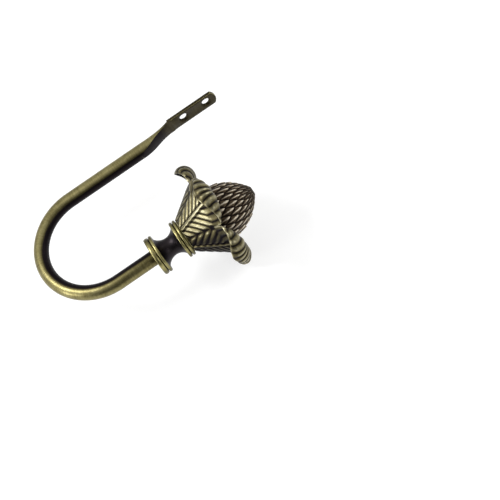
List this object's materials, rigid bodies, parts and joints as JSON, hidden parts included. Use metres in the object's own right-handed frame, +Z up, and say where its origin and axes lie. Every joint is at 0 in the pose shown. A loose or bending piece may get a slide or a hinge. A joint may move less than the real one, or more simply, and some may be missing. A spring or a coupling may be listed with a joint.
{
  "type": "curtain holdback",
  "caption": "U-shaped curtain holdback of round tube with a flat screw tab at one end and a turned collar and a leafy artichoke finial at the other.",
  "frame": {"origin": "middle of the two screw holes, on the face of the tab that meets the wall", "axes": "+X along both legs to their free ends, +Y into the wall, +Z up, so the hook lies level as mounted"},
  "size_m": [0.1651, 0.1222, 0.0801],
  "materials": {
    "hook_tube": "antiqued brass, finely brushed, darker toward the tab",
    "tube_plug": "plain turned brass",
    "stud": "zinc-plated threaded rod",
    "spool_collar": "turned, near-black satin waist with rubbed brass rims",
    "finial": "cast, antiqued brass with dark hollows and rubbed crests"
  },
  "bodies": {
    "root": {"hook_tube": "hook_tube", "tube_plug": "tube_plug", "stud": "stud", "spool_collar": "spool_collar", "finial": "finial"}
  },
  "joints": []
}
